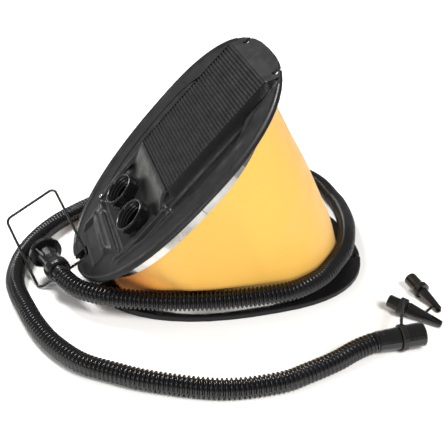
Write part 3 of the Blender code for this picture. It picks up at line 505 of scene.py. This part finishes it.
def cloth_rows(depth, hose):
    """Rows of the cloth from the lower band to the upper one, with each row's share of the pedal's swing."""
    low = shifted(ring_outline(CLOTH_INSET + depth, CLOTH_POINTS), TIP_X)
    high = shifted(ring_outline(CLOTH_INSET + depth, CLOTH_POINTS), -HINGE_FROM_TIP)
    normals = outward(low)
    base = [Vector((x, y, BASE_BAND_HIGH + CLEARANCE)) for x, y in low]
    pedal = [open_pedal((x, y, PEDAL_BAND_LOW - CLEARANCE)) for x, y in high]
    rows = [([Vector((x, y, BASE_BAND_LOW + CLEARANCE)) for x, y in low], 0.0), (base, 0.0)]
    steps = [(height, 0.0) for height in LOW_HEIGHTS]
    steps += [(LOW_HEIGHTS[-1], share) for share in HIGH_SHARES[:-1]]
    for height, upper in steps:
        row = []
        for index, (start, end, (nx, ny)) in enumerate(zip(base, pedal, normals)):
            span = end - start
            share = height / max(span.z, SHORT_SPAN)
            share += (1 - share) * upper
            size = min(1.0, span.length / 0.10)
            swell = -CLOTH_SAG * math.sin(math.pi * share) * size * (1 - max(0.0, nx))
            swell += CLOTH_BULGE * 6.75 * share * (1 - share) ** 2 * max(0.0, nx) ** 0.7 * size
            point = start.lerp(end, share)
            fade = math.sin(math.pi * share) * size
            swell += 0.0016 * noise.noise(point * 22.0) * fade
            swell -= hinge_folds(point) * fade
            swell += 0.0007 * noise.noise(Vector((point.x * 60, point.y * 60, point.z * 18))) * fade
            point = point + Vector((nx, ny, 0)) * swell
            row.append(clear_of_hose(point, Vector((-nx, -ny, 0)), hose, HOSE_RADIUS + HOSE_ROOM + depth))
        rows.append((row, upper))
    rows.append((pedal, 1.0))
    rows.append(([open_pedal((x, y, PEDAL_BAND_HIGH - CLEARANCE)) for x, y in high], 1.0))
    return rows


def bellows_cloth():
    hose = smooth_path(HOSE_ROUTE, 0.003)
    outer = cloth_rows(0.0, hose)
    inner = cloth_rows(CLOTH_THICKNESS, hose)
    rows = outer + inner[::-1]
    item = skin("bellows_cloth", [row for row, _ in rows], closed=True, smooth_angle=70)
    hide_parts("bellows")
    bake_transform(item)
    return item


# ---------------------------------------------------------------- storage clip

def storage_clip():
    corners = [Vector(corner) for corner in CLIP_CORNERS]
    curve = bpy.data.curves.new("clip_wire", "CURVE")
    curve.dimensions = "3D"
    curve.bevel_depth = CLIP_WIRE_RADIUS
    curve.bevel_resolution = 4
    points = []
    steps = 8
    for index, corner in enumerate(corners):
        before = (corners[index - 1] - corner).normalized()
        after = (corners[(index + 1) % len(corners)] - corner).normalized()
        middle = corner + (before + after) * CLIP_BEND
        for step in range(steps + 1):
            angle = math.pi / 2 * step / steps
            points.append(middle - (after * math.cos(angle) + before * math.sin(angle)) * CLIP_BEND)
    spline = curve.splines.new("POLY")
    spline.points.add(len(points) - 1)
    for target, point in zip(spline.points, points):
        target.co = (*point, 1)
    spline.use_cyclic_u = True
    item = add("clip_wire", curve)
    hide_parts("storage_clip")
    return item


# ---------------------------------------------------------------- pedal's moulded top

COVER_SKIN = 0.0003
LIP_THICKNESS = 0.0013
RIVET_PLACE = (0.0560, 0.0570)
RIVET_PROFILE = ((0.0, 0.0024), (0.0008, 0.0024), (0.0014, 0.0021), (0.0018, 0.0014), (0.0020, 0.0004))
COVER_END = 0.2745
COVER_CORE = 0.0143
NEAR_CREST = ((0.050, 0.0635), (0.092, 0.0750), (0.157, 0.0830), (0.209, 0.0815),
              (0.246, 0.0640), (0.262, 0.0570))
FAR_CREST = ((0.104, 0.0570), (0.128, 0.0680), (0.157, 0.0810), (0.209, 0.0800),
             (0.246, 0.0640), (0.262, 0.0570))
# Raised beads: points as (station, y), half width, height.
BEADS = (
    (((0.112, -0.0610), (0.080, -0.0600), (0.0536, -0.0586), (0.047, -0.0560)), 0.0022, 0.0013),
    (((0.050, -0.0640), (0.092, -0.0760), (0.157, -0.0850), (0.209, -0.0835)), 0.0030, 0.0009),
    (((0.128, 0.0620), (0.066, 0.0575), (0.045, 0.0390), (0.026, 0.0385)), 0.0028, 0.0012),
    (((0.0440, 0.0380), (0.0425, 0.0010), (0.0415, -0.0310)), 0.0050, 0.0021),
    (((0.0415, -0.0300), (0.0300, -0.0345), (0.0235, -0.0345)), 0.0020, 0.0011),
    (((0.0510, 0.0290), (0.0495, -0.0430)), 0.0021, -0.0022),
)
PANEL_STATIONS = (0.0195, 0.0385)
PANEL_HALF_WIDTH = 0.0335
PANEL_DEPTH = 0.0011
WELL_EDGE = (0.0515, 0.0565)
WELL_SIDES = (0.0500, 0.0560)
SLOPE_START = 0.0975
END_SLOPE = 0.546


def ramp(value, low, high):
    share = min(1.0, max(0.0, (value - low) / (high - low)))
    return share * share * (3 - 2 * share)


def follow(table, station):
    """Value at a station of a table of (station, value), 0 before and after it."""
    if station <= table[0][0] or station >= table[-1][0]:
        return 0.0
    for (one, low), (two, high) in zip(table, table[1:]):
        if station <= two:
            share = ramp(station, one, two)
            return low + (high - low) * share
    return 0.0


def half_width(station, first, last, widest, half, powers):
    power = powers[1] if station > widest else powers[0]
    length = last - widest if station > widest else widest - first
    part = min(1.0, abs(station - widest) / length)
    return half * (1 - part ** power) ** (1 / power)


def from_line(point, line):
    """Distance from a point to a line of points."""
    nearest = 1.0
    for one, two in zip(line, line[1:]):
        run = (two[0] - one[0], two[1] - one[1])
        share = ((point[0] - one[0]) * run[0] + (point[1] - one[1]) * run[1]) / (run[0] ** 2 + run[1] ** 2)
        share = min(1.0, max(0.0, share))
        away = math.hypot(point[0] - one[0] - run[0] * share, point[1] - one[1] - run[1] * share)
        nearest = min(nearest, away)
    return nearest


def cover_height(station, y, edge):
    """Height of the moulded top at a station and a side distance; edge is the distance from the rim."""
    height = PEDAL_RIM
    reach = abs(y)
    lip = 0.0016 if y > 0 else 0.0009
    height += lip * math.exp(-((edge - 0.0042) / 0.0030) ** 2)
    if y > 0:
        height -= 0.0008 * ramp(edge, 0.008, 0.016) * ramp(station, 0.02, 0.06) * ramp(reach, 0.06, 0.07)
    crest = follow(FAR_CREST if y > 0 else NEAR_CREST, station)
    if station < TREAD_STATIONS[0] - 0.012:
        inner = 0.0610
    else:
        inner = TREAD_HALF_WIDTH + 0.0020
    if crest > inner and reach < crest:
        depth = min(0.0054, 0.42 * (crest - inner)) * min(1.0, (crest - inner) / 0.006)
        part = max(0.0, (reach - inner) / (crest - inner))
        height -= depth * ramp(part, -0.05, 0.20) * (1 - ramp(part, 0.28, 1.0))
    for line, wide, tall in BEADS:
        height += tall * math.exp(-(from_line((station, y), line) / wide) ** 2)
    panel = (ramp(station, PANEL_STATIONS[0] - 0.001, PANEL_STATIONS[0] + 0.002)
             * (1 - ramp(station, PANEL_STATIONS[1] - 0.003, PANEL_STATIONS[1] + 0.001))
             * (1 - ramp(reach, PANEL_HALF_WIDTH - 0.002, PANEL_HALF_WIDTH + 0.001)))
    height -= PANEL_DEPTH * panel
    well = ramp(station, *WELL_EDGE) * (1 - ramp(reach, *WELL_SIDES))
    well *= 1 - ramp(station, TREAD_STATIONS[0] - 0.016, TREAD_STATIONS[0])
    floor_height = WELL_FLOOR + (TREAD_TOP - WELL_FLOOR) * ramp(station, SLOPE_START, TREAD_STATIONS[0])
    side = 1 - ramp(reach, TREAD_HALF_WIDTH + 0.0004, TREAD_HALF_WIDTH + 0.0021)
    if station < TREAD_STATIONS[0]:
        rise = ramp(station, SLOPE_START, TREAD_STATIONS[0])
        slope_side = 1 - ramp(reach, TREAD_HALF_WIDTH - 0.003, TREAD_HALF_WIDTH + 0.0046 - 0.0025 * rise)
        if station > SLOPE_START:
            blend_in = ramp(station, SLOPE_START, SLOPE_START + 0.0045)
            target = height + (floor_height - height) * slope_side
            well_height = height + (WELL_FLOOR - height) * well
            height = well_height + (target - well_height) * blend_in
        else:
            height += (WELL_FLOOR - height) * well
    elif station < TREAD_STATIONS[1]:
        height += (TREAD_TOP - height) * side
    else:
        slope = TREAD_TOP - RIB_DEPTH - (station - TREAD_STATIONS[1]) * END_SLOPE
        height += (max(height, slope) - height) * side
    return height


def cover_rows():
    stations = [0.0015 + 0.0015 * index for index in range(12)]
    stations += [0.0190 + 0.00135 * index for index in range(83)]
    stations.append(TREAD_STATIONS[0])
    stations += [TREAD_STATIONS[0] + 0.0034 * index for index in range(1, 40)]
    stations.append(TREAD_STATIONS[1])
    stations += [TREAD_STATIONS[1] + 0.0015 * index for index in range(1, 6)]
    return [station for station in stations if station <= COVER_END]


def pedal_cover():
    """Fine top of the pedal: rounded rim, sunken channels, beads, port well and the tread's slopes."""
    verts = []
    faces = []
    stations = cover_rows()
    rows = []
    for station in stations:
        edge = half_width(station, 0.0, PLATE_LENGTH, PLATE_WIDEST, PLATE_HALF_WIDTH, PLATE_POWERS) - 0.0006
        step = min(TREAD_HALF_WIDTH + 0.0003, COVER_CORE + (edge - COVER_CORE) * 0.5)
        foot = step + min(0.0019, (edge - step) * 0.3)
        half = [0.0, 0.0039, POCKET_SIDES[1] + 0.0003, -POCKET_SIDES[0] + 0.0003, 0.0115, COVER_CORE]
        half += [half[-1] + (step - half[-1]) * (index + 1) / 26 for index in range(26)]
        half += [step + (foot - step) * share for share in (0.35, 0.75, 1.0)]
        half += [foot + (edge - 0.0012 - foot) * (index + 1) / 30 for index in range(30)]
        half.append(edge)
        rows.append([-value for value in half[:0:-1]] + half)
    count = len(rows[0])
    for station, row in zip(stations, rows):
        edge = row[-1]
        slope_room = min(1.0, (COVER_END - station) / 0.006)
        for y in row:
            away = min(edge - abs(y), station + 0.0015 if abs(y) < edge else 0.0)
            height = cover_height(station, y, away) + COVER_SKIN * slope_room
            if abs(y) == edge:
                height = PEDAL_RIM - 0.0004
            verts.append(open_pedal((station - HINGE_FROM_TIP, y, height)))
    for line in range(len(stations) - 1):
        middle_station = (stations[line] + stations[line + 1]) / 2
        for index in range(count - 1):
            middle_y = (rows[line][index] + rows[line][index + 1]) / 2
            on_tread = (TREAD_STATIONS[0] < middle_station < TREAD_STATIONS[1]
                        and abs(middle_y) < TREAD_HALF_WIDTH + 0.0002)
            in_pocket = (middle_station < TIP_SPLIT + 0.0002
                         and POCKET_SIDES[0] - 0.0003 < middle_y < POCKET_SIDES[1] + 0.0003)
            from_port = math.hypot(middle_station - PORT_STATION, abs(middle_y) - PORT_SPACING / 2)
            if on_tread or in_pocket or from_port < PORT_BORE + 0.0018:
                continue
            first = line * count + index
            faces.append((first, first + 1, first + count + 1, first + count))
    mesh = bpy.data.meshes.new("pedal_cover")
    mesh.from_pydata([tuple(vert) for vert in verts], [], faces)
    work = bmesh.new()
    work.from_mesh(mesh)
    loose = [vert for vert in work.verts if not vert.link_faces]
    bmesh.ops.delete(work, geom=loose, context="VERTS")
    bmesh.ops.recalc_face_normals(work, faces=work.faces)
    up = Matrix.Rotation(-OPEN_ANGLE, 3, "Y") @ Vector((0, 0, 1))
    if sum(face.normal.dot(up) for face in work.faces) < 0:
        bmesh.ops.reverse_faces(work, faces=work.faces)
    work.to_mesh(mesh)
    work.free()
    mesh.shade_smooth()
    return add("pedal_cover", mesh)


def rivet_head():
    """Domed steel rivet beside the ports."""
    up = Matrix.Rotation(-OPEN_ANGLE, 3, "Y") @ Vector((0, 0, 1))
    side = Vector((0, 1, 0))
    forward = side.cross(up)
    foot = open_pedal((RIVET_PLACE[0] - HINGE_FROM_TIP, RIVET_PLACE[1], PEDAL_RIM + 0.0004))
    rows = []
    for height, radius in RIVET_PROFILE:
        rows.append([foot + up * height + (forward * math.cos(turn) + side * math.sin(turn)) * radius
                     for turn in (2 * math.pi * step / 20 for step in range(20))])
    item = skin("rivet_head", rows, caps=True, smooth_angle=50)
    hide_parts("plate_rivet")
    return item


def ring(name, centre, axis, radius, thickness, sides=48, around=8):
    """Thin ring about an axis."""
    axis = Vector(axis).normalized()
    side = axis.orthogonal().normalized()
    up = axis.cross(side)
    rows = []
    for index in range(sides):
        angle = 2 * math.pi * index / sides
        way = side * math.cos(angle) + up * math.sin(angle)
        rows.append([Vector(centre) + way * (radius + thickness * math.cos(turn))
                     + axis * thickness * math.sin(turn)
                     for turn in (2 * math.pi * step / around for step in range(around))])
    return skin(name, rows, closed=True, smooth_angle=80)


def port_lips():
    """Rounded rims of the two ports."""
    up = Matrix.Rotation(-OPEN_ANGLE, 3, "Y") @ Vector((0, 0, 1))
    made = []
    for label, side in (("outlet", -1), ("inlet", 1)):
        place = (PORT_STATION - HINGE_FROM_TIP, side * PORT_SPACING / 2)
        top = open_pedal((*place, PORT_TOP))
        made.append(ring(f"{label}_lip", top, up, (PORT_RADIUS + PORT_BORE) / 2, LIP_THICKNESS, 56, 10))
    return made


def coil_spring():
    """Return spring, bent along the pedal's swing."""
    gap = SPRING_WIRE_RADIUS + CLEARANCE
    start = Vector((TIP_X + SPRING_STATION, 0, BASE_TOP + gap))
    end = open_pedal((SPRING_STATION - HINGE_FROM_TIP, 0, TREAD_CEILING - gap))
    start_up = Vector((0, 0, 1))
    end_up = Matrix.Rotation(-OPEN_ANGLE, 3, "Y") @ start_up
    reach = (end - start).length
    across = Vector((0, 1, 0))
    closed_turns = 0.9
    free_turns = SPRING_TURNS - 2 * closed_turns
    per_turn = 36
    points = []
    for index in range(SPRING_TURNS * per_turn + 1):
        turns = index / per_turn
        share = min(1.0, max(0.0, (turns - closed_turns) / free_turns))
        centre = ((2 * share ** 3 - 3 * share ** 2 + 1) * start
                  + (share ** 3 - 2 * share ** 2 + share) * reach * start_up
                  + (3 * share ** 2 - 2 * share ** 3) * end
                  + (share ** 3 - share ** 2) * reach * end_up)
        axis = start_up.lerp(end_up, share).normalized()
        angle = 2 * math.pi * turns
        offset = math.cos(angle) * across.cross(axis) + math.sin(angle) * across
        lift = 0.0034 * min(turns, closed_turns) if turns < closed_turns else 0.0
        points.append(centre + SPRING_RADIUS * offset + axis * lift)
    frames = tube_frames(points)
    sides = 10
    rows = []
    for point, (side, up) in zip(points, frames):
        rows.append([point + (side * math.cos(turn) + up * math.sin(turn)) * SPRING_WIRE_RADIUS
                     for turn in (2 * math.pi * step / sides for step in range(sides))])
    item = skin("spring_wire", rows, caps=True, smooth_angle=60)
    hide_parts("return_spring")
    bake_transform(item)
    return item


PIPS = ((0.0050, 0.15), (0.0085, -0.25))
PIP_SEAT = 0.0094
PIP_HEIGHT = 0.0013
PIP_RADIUS = 0.0014


def cuff_bumps():
    """Two small moulded pips near the end cuff's start."""
    way = (END_CUFF_TARGET - END_CUFF_ORIGIN).normalized()
    up = Vector((0, 0, 1))
    up = (up - way * up.dot(way)).normalized()
    side = way.cross(up)
    made = []
    for index, (station, turn) in enumerate(PIPS):
        out = up * math.cos(turn) + side * math.sin(turn)
        centre = END_CUFF_ORIGIN + way * station + out * PIP_SEAT
        rows = []
        for step in range(6):
            height = PIP_HEIGHT * math.sin(math.pi / 2 * step / 5.5)
            radius = PIP_RADIUS * math.cos(math.pi / 2 * step / 5.5)
            rows.append([centre + out * height + (way * math.cos(a) + out.cross(way) * math.sin(a)) * radius
                         for a in (2 * math.pi * k / 12 for k in range(12))])
        made.append(skin(f"cuff_pip_{index + 1}", rows, caps=True, smooth_angle=60))
    return made


# ---------------------------------------------------------------- assembly

camera()
studio()
floor()

PLATE_BLACK = surface("plate_black", (0.0062, 0.0060, 0.0066), 0.42, shade=0.60,
                      grain=0.14, rough_span=0.09, specular=0.36)
GLOSS_BLACK = surface("gloss_black", (0.0050, 0.0050, 0.0054), 0.20, shade=0.60, grain=0.03, rough_span=0.07)
HOSE_BLACK = surface("hose_black", (0.0045, 0.0045, 0.0056), 0.22, shade=0.60, grain=0.03, rough_span=0.07)
# Painted reflections: the steel's strong dark patches (shade 0.34) stand for reflections of the room in the
# metal.
STEEL = surface("steel_painted_reflections", (0.70, 0.695, 0.68), 0.24, metallic=1.0, shade=0.34, patch_scale=17,
                grain_scale=1400, grain=0.03, rough_span=0.08)
CLIP_BLACK = surface("clip_black", (0.006, 0.006, 0.006), 0.28, shade=0.7, grain=0.02)
RUBBER = surface("rubber_black", (0.006, 0.006, 0.006), 0.45, shade=0.7, grain=0.06)
CLOTH = surface("cloth_yellow", (0.72, 0.405, 0.068), 0.55, shade=0.93, patch_scale=9, grain_scale=1500,
                grain=0.10, sheen=0.15)
# Painted shade: the cloth turns a deeper orange towards the hinge and the bottom, where the pedal shades it.
paint_shade_gradient(CLOTH, (0.52, 0.165, 0.004), (1.0, 0.0, 0.8), -0.075, -0.005)

LOOKS = {
    "base_plate": PLATE_BLACK, "pedal_plate": PLATE_BLACK, "hinge_block": PLATE_BLACK,
    "lower_band": STEEL, "upper_band": STEEL, "lower_clasp": STEEL, "upper_clasp": STEEL,
    "hinge_pin": STEEL, "return_spring": STEEL, "plate_rivet": STEEL,
    "outlet_port": GLOSS_BLACK, "inlet_port": GLOSS_BLACK,
    "outlet_seat": PLATE_BLACK, "inlet_seat": PLATE_BLACK,
    "outlet_flap": RUBBER, "inlet_flap": RUBBER,
    "port_fitting": GLOSS_BLACK, "hose_cuff": GLOSS_BLACK, "end_cuff": GLOSS_BLACK,
    "nozzle_strap": RUBBER, "nozzle_long": GLOSS_BLACK, "nozzle_short": GLOSS_BLACK,
}
for node_name, node_look in LOOKS.items():
    dress(node_name, node_look)

hose, hose_path = corrugated_hose()
wear(hose, HOSE_BLACK)
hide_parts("hose")
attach(hose, "base")

cloth = bellows_cloth()
wear(cloth, CLOTH)

cover = pedal_cover()
wear(cover, PLATE_BLACK)
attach(cover, "pedal")

for piece in port_lips():
    wear(piece, GLOSS_BLACK)
    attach(piece, "pedal")

rivet = rivet_head()
wear(rivet, STEEL)
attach(rivet, "pedal")

spring = coil_spring()
wear(spring, STEEL)

for piece in cuff_bumps():
    wear(piece, GLOSS_BLACK)
    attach(piece, "base")

clip = storage_clip()
wear(clip, CLIP_BLACK)
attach(clip, "clip")
